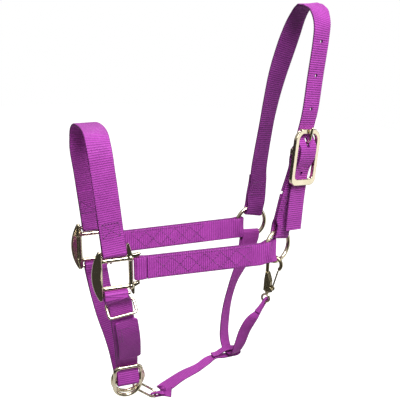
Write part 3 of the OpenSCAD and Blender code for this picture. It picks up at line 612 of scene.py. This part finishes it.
chin_rows = [row(p) for p in ((-226.5, -32, -334), (-229.5, -37.6, -312), (-232, -40.4, -298),
                              (CHIN_X, -41.8, -290))]
chin_rows += [chin_side(-1, a) for a in range(0, 181, 30)]
chin_rows += [row((CHIN_X, -48.2, -290)), row((-232, -43.4, -298))] + [row(p) for p in CHIN_NEAR]
chin_rows += round_bar(DEE_AT, Z, Y, X, DEE_WIRE + FIT + STRAP_T / 2, 0.4, STRAP_W, 60)
chin_rows += [row(p) for p in CHIN_FAR] + [row((-236.5, 43.4, -298)), row((FAR_CHIN_X, 41.8, -290))]
chin_rows += [chin_side(1, a) for a in range(180, -1, -30)]
chin_rows += [row(p) for p in ((FAR_CHIN_X, 48.2, -290), (-237, 46.4, -298), (-234.5, 43.6, -314),
                               (-231, 38, -334))]
webbing("chin", chin_rows, STRAP_T, PURPLE, ["chin_strap"])

FLAP = [(-226.5, -43.5, -317.2), (-223.5, -39, -334.3), (-221, -33, -347.9), (-219, -25.9, -361.3),
        (-216.5, -15.6, -377.2)]
webbing("chin_flap_strap", [row(p) for p in FLAP], STRAP_T, PURPLE, ["chin_flap"],
        round_start=5, round_end=3)

# ---------- connector strap and throat strap ----------
LEAD_AT, LEAD_R, DEE_TIP = vec(-213.5, 8.5, -417), 18.4, 12
LINK_END, LINK_WIRE = vec(-182.5, 3.4, -442.5), 1.4
link_on_ring = LEAD_AT + LEAD_R * tipped(vec(cs(-50)[0], 0, cs(-50)[1]), DEE_TIP)
link_run = unit(LINK_END - link_on_ring)
LINK_DIR = turned(leaned(tipped(Y, 20), math.degrees(math.asin(-link_run[2]))),
                  math.degrees(math.atan2(link_run[1], link_run[0])))
CONNECTOR_DIR = vec(0.3, 0.75, 0.6)
CONNECTOR = [(-175, 3, -437.3, 14), (-164, 2, -430.8, 15), (-149, 1, -422.3, 13), (-131, 0, -415.3, 11),
             (-119, 0, -408.5, 11)]
THROAT_TURN = [(-109, -404.5), (-99, -405.2), (-88, -405), (-80.5, -404.4), (-77.5, -401.3),
               (-80.5, -397.6), (-88, -396.4), (-97, -396.9), (-106, -401), (-112, -401.5)]
LINK_ALONG = across(vec(0.86, 0, 0.5), LINK_DIR)
LINK_SIDE = unit(np.cross(LINK_ALONG, LINK_DIR))


def at_link(s, out):
    return LINK_END + s * LINK_ALONG + out * LINK_SIDE


gap = 1.3
connector_rows = [row(at_link(22, -1.4), CONNECTOR_DIR, 13), row(at_link(12, -gap), LINK_DIR, 8),
                  row(at_link(5, -gap - 1), LINK_DIR, 4)]
connector_rows += round_bar(LINK_END, LINK_ALONG, LINK_SIDE, LINK_DIR, LINK_WIRE + FIT + NARROW_T / 2, 2.4, 3)
connector_rows += [row(at_link(5, gap + 1), LINK_DIR, 4), row(at_link(12, gap), LINK_DIR, 9)]
connector_rows += [row(p[:3], CONNECTOR_DIR, p[3]) for p in CONNECTOR]
connector_rows += [row((x, 0, z), Y, 10) for x, z in THROAT_TURN]
webbing("connector", connector_rows, NARROW_T, NARROW, ["connector_strap"],
        pitch=FINE_PITCH, rib=0.06, scallop=0.08)

HOOK_AT, SNAP_TURN, SNAP_LEAN = vec(-54, -42.2, -277.2), -50, 12.5
EYE_WIRE, EYE_LOOP_R, BASE_H = 1.3, 4.6, -36


def at_snap(p):
    return HOOK_AT + turned(leaned(p, SNAP_LEAN), SNAP_TURN)


THROAT = [(-61.6, 38.6, -311, NARROW_W, 22), (-69, 35.5, -322, 17, 30), (-75.5, 32, -335, 16, 34),
          (-81.5, 28, -350, 16, 34), (-86.5, 23, -368, 17, 34), (-89.5, 18, -386, 17, 34),
          (-90, 10, -398, 14, 30), (-89, 0, -401, 12, 26), (-87, -10, -398, 13, 18), (-84, -17, -384, 14, 0),
          (-81, -24, -364, 13, -20), (-77, -30, -350, 12, -35), (-72, -34, -341, 9, -48)]
THROAT_LEAN, THROAT_W, THROAT_GAP = 4, 21.5, 1.3
FAR_LOW = FAR_RING - RING_R * leaned(Z, THROAT_LEAN)
THROAT_DOWN = unit(vec(-8, -4, -26))
THROAT_OUT = across(Y, THROAT_DOWN)
THROAT_TURN_R = RING_WIRE + FIT + NARROW_T / 2


def at_far(s, out):
    return FAR_LOW + s * THROAT_DOWN + out * THROAT_OUT


eye = at_snap(vec(0, 0, BASE_H - 4.2 - 2 * EYE_LOOP_R))
body = unit(vec(-72, -34, -341) - eye)
eye_dir = turned(X, SNAP_TURN)
side = unit(np.cross(body, eye_dir))
throat_dir = leaned(X, THROAT_LEAN)
throat_rows = [row(at_far(27, THROAT_GAP + 0.4), turned(X, 8), 21),
               row(at_far(13, THROAT_GAP + 0.1), X, THROAT_W),
               row(at_far(2, THROAT_TURN_R), throat_dir, THROAT_W)]
throat_rows += round_bar(FAR_LOW, -leaned(Z, THROAT_LEAN), -THROAT_OUT, throat_dir, THROAT_TURN_R,
                         ring_sag(THROAT_W, 0.7), THROAT_W)
throat_rows += [row(at_far(2, -THROAT_TURN_R), throat_dir, THROAT_W),
                row(at_far(13, -THROAT_GAP - 0.1), X, THROAT_W),
                row(at_far(27, -THROAT_GAP), turned(X, 8), 21)]
throat_rows += [row(p[:3], turned(X, p[4]), p[3]) for p in THROAT]
throat_rows += [row(eye + 9 * body - 1.9 * side, eye_dir, 5)]
throat_rows += round_bar(eye, body, side, eye_dir, EYE_WIRE + FIT + NARROW_T / 2, 2.5, 3.2)
throat_rows += [row(eye + 9 * body + 1.9 * side, eye_dir, 5), row(eye + 15 * body + 1.7 * side, eye_dir, 7)]
webbing("throat", throat_rows, NARROW_T, NARROW, ["throat_strap"],
        pitch=FINE_PITCH, rib=0.06, scallop=0.08)


# ---------- stitching ----------
STITCH, STITCH_GAP, THREAD_R = 2.7, 0.5, 0.42


def capsules(name, segments, replaces):
    """One thread piece made of short stitches. A segment is (start, end, outward direction)."""
    verts, faces = [], []
    rings = np.linspace(-1, 1, 5)
    for a, b, out in segments:
        t = unit(b - a)
        w = unit(np.cross(out, t))
        up = np.cross(t, w)
        base = len(verts)
        for f in rings:
            thin = THREAD_R * (0.45 + 0.55 * (1 - f ** 4))
            p = (a + b) / 2 + t * np.linalg.norm(b - a) / 2 * f + up * (0.05 - 0.28 * f * f)
            verts += [p + thin * (cs(q)[0] * w + cs(q)[1] * up) for q in range(0, 360, 60)]
        for i in range(4):
            for j in range(6):
                q = (j + 1) % 6
                faces.append((base + i * 6 + j, base + i * 6 + q, base + i * 6 + 6 + q, base + i * 6 + 6 + j))
        faces.append(tuple(base + j for j in range(5, -1, -1)))
        faces.append(tuple(base + 24 + j for j in range(6)))
    return new_object(name, verts, faces, THREAD, replaces=replaces)


def tree_of(ob):
    mesh = ob.data
    return BVHTree.FromPolygons([v.co / MM for v in mesh.vertices],
                                [tuple(p.vertices) for p in mesh.polygons])


def stitched(tree, at, x, z, out, lines, reach=6.0):
    """Stitches along lines drawn in the plane of x and z, laid on the surface that faces out."""
    found = []
    for (a0, b0), (a1, b1) in lines:
        length = math.hypot(a1 - a0, b1 - b0)
        n = max(1, round(length / (STITCH + STITCH_GAP)))
        for i in range(n):
            ends = []
            for f in ((i + 0.1) / n, (i + 0.9) / n):
                p = at + x * (a0 + (a1 - a0) * f) + z * (b0 + (b1 - b0) * f)
                hit = tree.ray_cast(Vector(p + out * reach), Vector(-out), 2 * reach)
                ends.append(None if hit[0] is None else np.array(hit[0]) + out * 0.12)
            if ends[0] is not None and ends[1] is not None and 0.5 < np.linalg.norm(ends[1] - ends[0]) < 6:
                found.append((ends[0], ends[1], out))
    return found


def zigzag(length, step=18, reach=9):
    """Crossed zig-zag rows with a straight row along each edge."""
    rows = int(length // step)
    lines = []
    for i in range(rows):
        for s in (-1, 1):
            up = s * (1 if i % 2 == 0 else -1)
            lines.append(((i * step, up * reach), ((i + 1) * step, -up * reach)))
    for s in (-1, 1):
        lines.append(((0, s * (reach + 1.6)), (rows * step, s * (reach + 1.6))))
    return lines


def boxed(w, h):
    """A sewn box with a cross in it."""
    lines = []
    for s in (-1, 1):
        lines.append(((-w / 2, s * h / 2), (w / 2, s * h / 2)))
        lines.append(((s * w / 2, -h / 2), (s * w / 2, h / 2)))
        lines.append(((-w / 2, -s * h / 2), (w / 2, s * h / 2)))
    return lines


def cheek_stitches(name, strap, bar, bend, z):
    run = unit(bend - bar)
    out = vec(-run[1], run[0], 0)
    tree = tree_of(bpy.data.objects[strap])
    found = []
    for s in (-1, 1):
        found += stitched(tree, bar + run * 18 + z * Z, run, Z, s * out,
                          zigzag(np.linalg.norm(bend - bar) - 26))
    capsules(name + "_stitches", found, [name + "_stitching"])


cheek_stitches("near_cheek", "near_cheek", NEAR_BAR, NEAR_BEND, NEAR_CHEEK_Z)
cheek_stitches("far_cheek", "far_cheek", FAR_BAR, FAR_BEND, FAR_CHEEK_Z)

nose_tree = tree_of(bpy.data.objects["noseband"])
found = []
for s, x in ((-1, -240), (1, -243.5)):
    for face in (1, -1):
        found += stitched(nose_tree, vec(x, s * (NOSE_OUT - PLY / 2), -214), leaned(X, -4.5), leaned(Z, -4.5),
                          s * face * Y, boxed(18, 15), 4)
capsules("noseband_stitches", found, ["noseband_stitching"])

crown_tree = tree_of(crown)
found = []
for out in (-Y, Y):
    found += stitched(crown_tree, at_crown(24, PLY / 2) - 0.6 * X, across(turned(X, 12), CROWN_UP), CROWN_UP,
                      out, boxed(17, 16), 5)
capsules("crown_stitches", found, ["crown_stitching"])

loop_tree = tree_of(buckle_strap)
found = []
for out in (NEAR_OUT, -NEAR_OUT):
    found += stitched(loop_tree, on_run(0.36, 0), across(NEAR_DIR, STRAP_UP), STRAP_UP, out, boxed(17, 16), 5)
capsules("buckle_strap_stitches", found, ["buckle_strap_stitching"])

flap_tree = tree_of(bpy.data.objects["chin_flap_strap"])
flap_mid = vec(-223.5, -38.6, -336)
flap_up = unit(vec(*FLAP[0]) - vec(*FLAP[2]))
flap_out = unit(np.cross(flap_up, X))
if flap_out[1] > 0:
    flap_out = -flap_out
flap_lines = [((-9.5, -12), (-9.5, 9)), ((-6.8, -12), (-6.8, 9)), ((-9.5, 9), (9.5, 9))]
capsules("chin_stitches", stitched(flap_tree, flap_mid, X, flap_up, flap_out, flap_lines),
         ["chin_stitching"])


# ---------- cast fittings ----------
def casting(name, nodes, material, body, voxel, rounds):
    """A smoother copy of CAD solids, with the melted edges of a casting."""
    verts, faces = [], []
    for n in nodes:
        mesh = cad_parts[n].data
        base = len(verts)
        verts += [tuple(v.co) for v in mesh.vertices]
        faces += [tuple(base + i for i in p.vertices) for p in mesh.polygons]
    mesh = bpy.data.meshes.new(name)
    mesh.from_pydata(verts, [], faces)
    ob = bpy.data.objects.new(name, mesh)
    bpy.context.scene.collection.objects.link(ob)
    weld = ob.modifiers.new("weld", "WELD")
    weld.merge_threshold = 1e-6
    remesh = ob.modifiers.new("remesh", "REMESH")
    remesh.mode, remesh.voxel_size, remesh.use_smooth_shade = "VOXEL", voxel * MM, True
    smooth = ob.modifiers.new("smooth", "SMOOTH")
    smooth.factor, smooth.iterations = 0.5, rounds
    dg = bpy.context.evaluated_depsgraph_get()
    ob.data = bpy.data.meshes.new_from_object(ob.evaluated_get(dg))
    ob.modifiers.clear()
    ob.data.materials.clear()
    ob.data.materials.append(material)
    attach(ob, body)
    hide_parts(*nodes)
    return ob


casting("near_square_casting", ["near_square"], BRASS, "halter", 0.36, 9)
casting("far_square_casting", ["far_square"], BRASS, "halter", 0.36, 9)
casting("buckle_casting", ["buckle_frame"], BRASS, "buckle", 0.32, 16)
casting("tongue_casting", ["buckle_tongue"], BRASS, "tongue", 0.28, 3)
casting("snap_casting", ["snap_body"], SNAP, "snap", 0.26, 3)
casting("snap_eye_casting", ["snap_eye"], BRASS, "halter", 0.22, 2)

KEPT_NODES = ((("near_ring", "far_ring", "lead_ring", "chin_dee", "chin_adjuster", "connector_link"), BRASS),
              (("snap_gate",), SNAP), (("snap_gate_pin", "snap_gate_spring"), STEEL))
for names, material in KEPT_NODES:
    for n in names:
        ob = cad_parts[n]
        ob.data.materials.clear()
        ob.data.materials.append(material)
        ob.data.polygons.foreach_set("use_smooth", [True] * len(ob.data.polygons))
        weld = ob.modifiers.new("weld", "WELD")
        weld.merge_threshold = 1e-6
        if n not in ("snap_gate", "snap_gate_pin"):
            continue
        bevel = ob.modifiers.new("bevel", "BEVEL")
        bevel.width, bevel.segments = 0.2 * MM, 2

# ---------- floor, light and camera ----------
floor_mesh = bpy.data.meshes.new("floor")
FLOOR_Z = cad_box[0][2] - 0.35
FLOOR_R, FLOOR_MID = 2.2, (-0.13, 1.9)
FLOOR_EDGE = [(FLOOR_MID[0] + FLOOR_R * cs(a)[0], FLOOR_MID[1] + FLOOR_R * cs(a)[1], FLOOR_Z)
              for a in range(0, 360, 6)]
floor_mesh.from_pydata(FLOOR_EDGE, [], [tuple(range(len(FLOOR_EDGE)))])
floor = bpy.data.objects.new("floor", floor_mesh)
bpy.context.scene.collection.objects.link(floor)
pale = Nodes("floor")
# The glow shows to the camera only, so it does not light the halter from below.
seen_ray = pale.add("ShaderNodeLightPath").outputs["Is Camera Ray"]
pale.set(Base_Color=(0.6, 0.6, 0.6, 1), Roughness=0.9, Emission_Color=(1, 1, 1, 1),
         Emission_Strength=pale.math("MULTIPLY", seen_ray, 0.9))
floor.data.materials.append(pale.material)

world = bpy.data.worlds.new("studio")
bpy.context.scene.world = world
world.use_nodes = True
tree = world.node_tree
tree.nodes.clear()
out = tree.nodes.new("ShaderNodeOutputWorld")
seen = tree.nodes.new("ShaderNodeBackground")
seen.inputs[0].default_value, seen.inputs[1].default_value = (1, 1, 1, 1), 1.0
lit = tree.nodes.new("ShaderNodeBackground")
ramp = tree.nodes.new("ShaderNodeValToRGB")
place = tree.nodes.new("ShaderNodeTexCoord")
split = tree.nodes.new("ShaderNodeSeparateXYZ")
path = tree.nodes.new("ShaderNodeLightPath")
pick = tree.nodes.new("ShaderNodeMixShader")
tree.links.new(place.outputs["Generated"], split.inputs[0])
shift = tree.nodes.new("ShaderNodeMapRange")
shift.inputs[1].default_value, shift.inputs[2].default_value = -1, 1
tree.links.new(split.outputs[2], shift.inputs[0])
tree.links.new(shift.outputs[0], ramp.inputs[0])
stops = ramp.color_ramp
stops.elements[0].position, stops.elements[0].color = 0.0, (0.2, 0.19, 0.17, 1)
stops.elements[1].position, stops.elements[1].color = 1.0, (1, 1, 1, 1)
for place_at, level in ((0.42, 0.05), (0.56, 0.07), (0.68, 0.7)):
    e = stops.elements.new(place_at)
    e.color = (level, level * 0.96, level * 0.9, 1)
tree.links.new(ramp.outputs[0], lit.inputs[0])
lit.inputs[1].default_value = 0.5
tree.links.new(path.outputs["Is Camera Ray"], pick.inputs[0])
tree.links.new(lit.outputs[0], pick.inputs[1])
tree.links.new(seen.outputs[0], pick.inputs[2])
tree.links.new(pick.outputs[0], out.inputs[0])


def area_light(name, at, aim, size, power):
    data = bpy.data.lights.new(name, "AREA")
    data.shape, data.size, data.energy = "DISK", size, power
    ob = bpy.data.objects.new(name, data)
    bpy.context.scene.collection.objects.link(ob)
    ob.location = at
    ob.rotation_mode = "QUATERNION"
    ob.rotation_quaternion = (Vector(aim) - Vector(at)).to_track_quat("-Z", "Y")


MIDDLE = (-0.13, 0, -0.22)
area_light("key", (-0.15, -1.0, 0.9), MIDDLE, 1.0, 28)
area_light("fill", (0.95, -0.42, -0.4), MIDDLE, 0.9, 2.2)
area_light("back", (0.2, 1.1, 0.9), MIDDLE, 0.9, 5)

camera_data = bpy.data.cameras.new("camera")
camera_data.lens, camera_data.sensor_width = 68.9, 36
camera_data.clip_start, camera_data.clip_end = 0.05, 30
camera = bpy.data.objects.new("camera", camera_data)
bpy.context.scene.collection.objects.link(camera)
CAMERA_AT, LOOK_AT = vec(-405.2, -763.8, 41.4) * MM, vec(-127.2, 0, -207.1) * MM
camera.location = CAMERA_AT
camera.rotation_mode = "QUATERNION"
camera.rotation_quaternion = Vector(LOOK_AT - CAMERA_AT).to_track_quat("-Z", "Y")
bpy.context.scene.camera = camera
bpy.context.scene.view_settings.view_transform = "Standard"
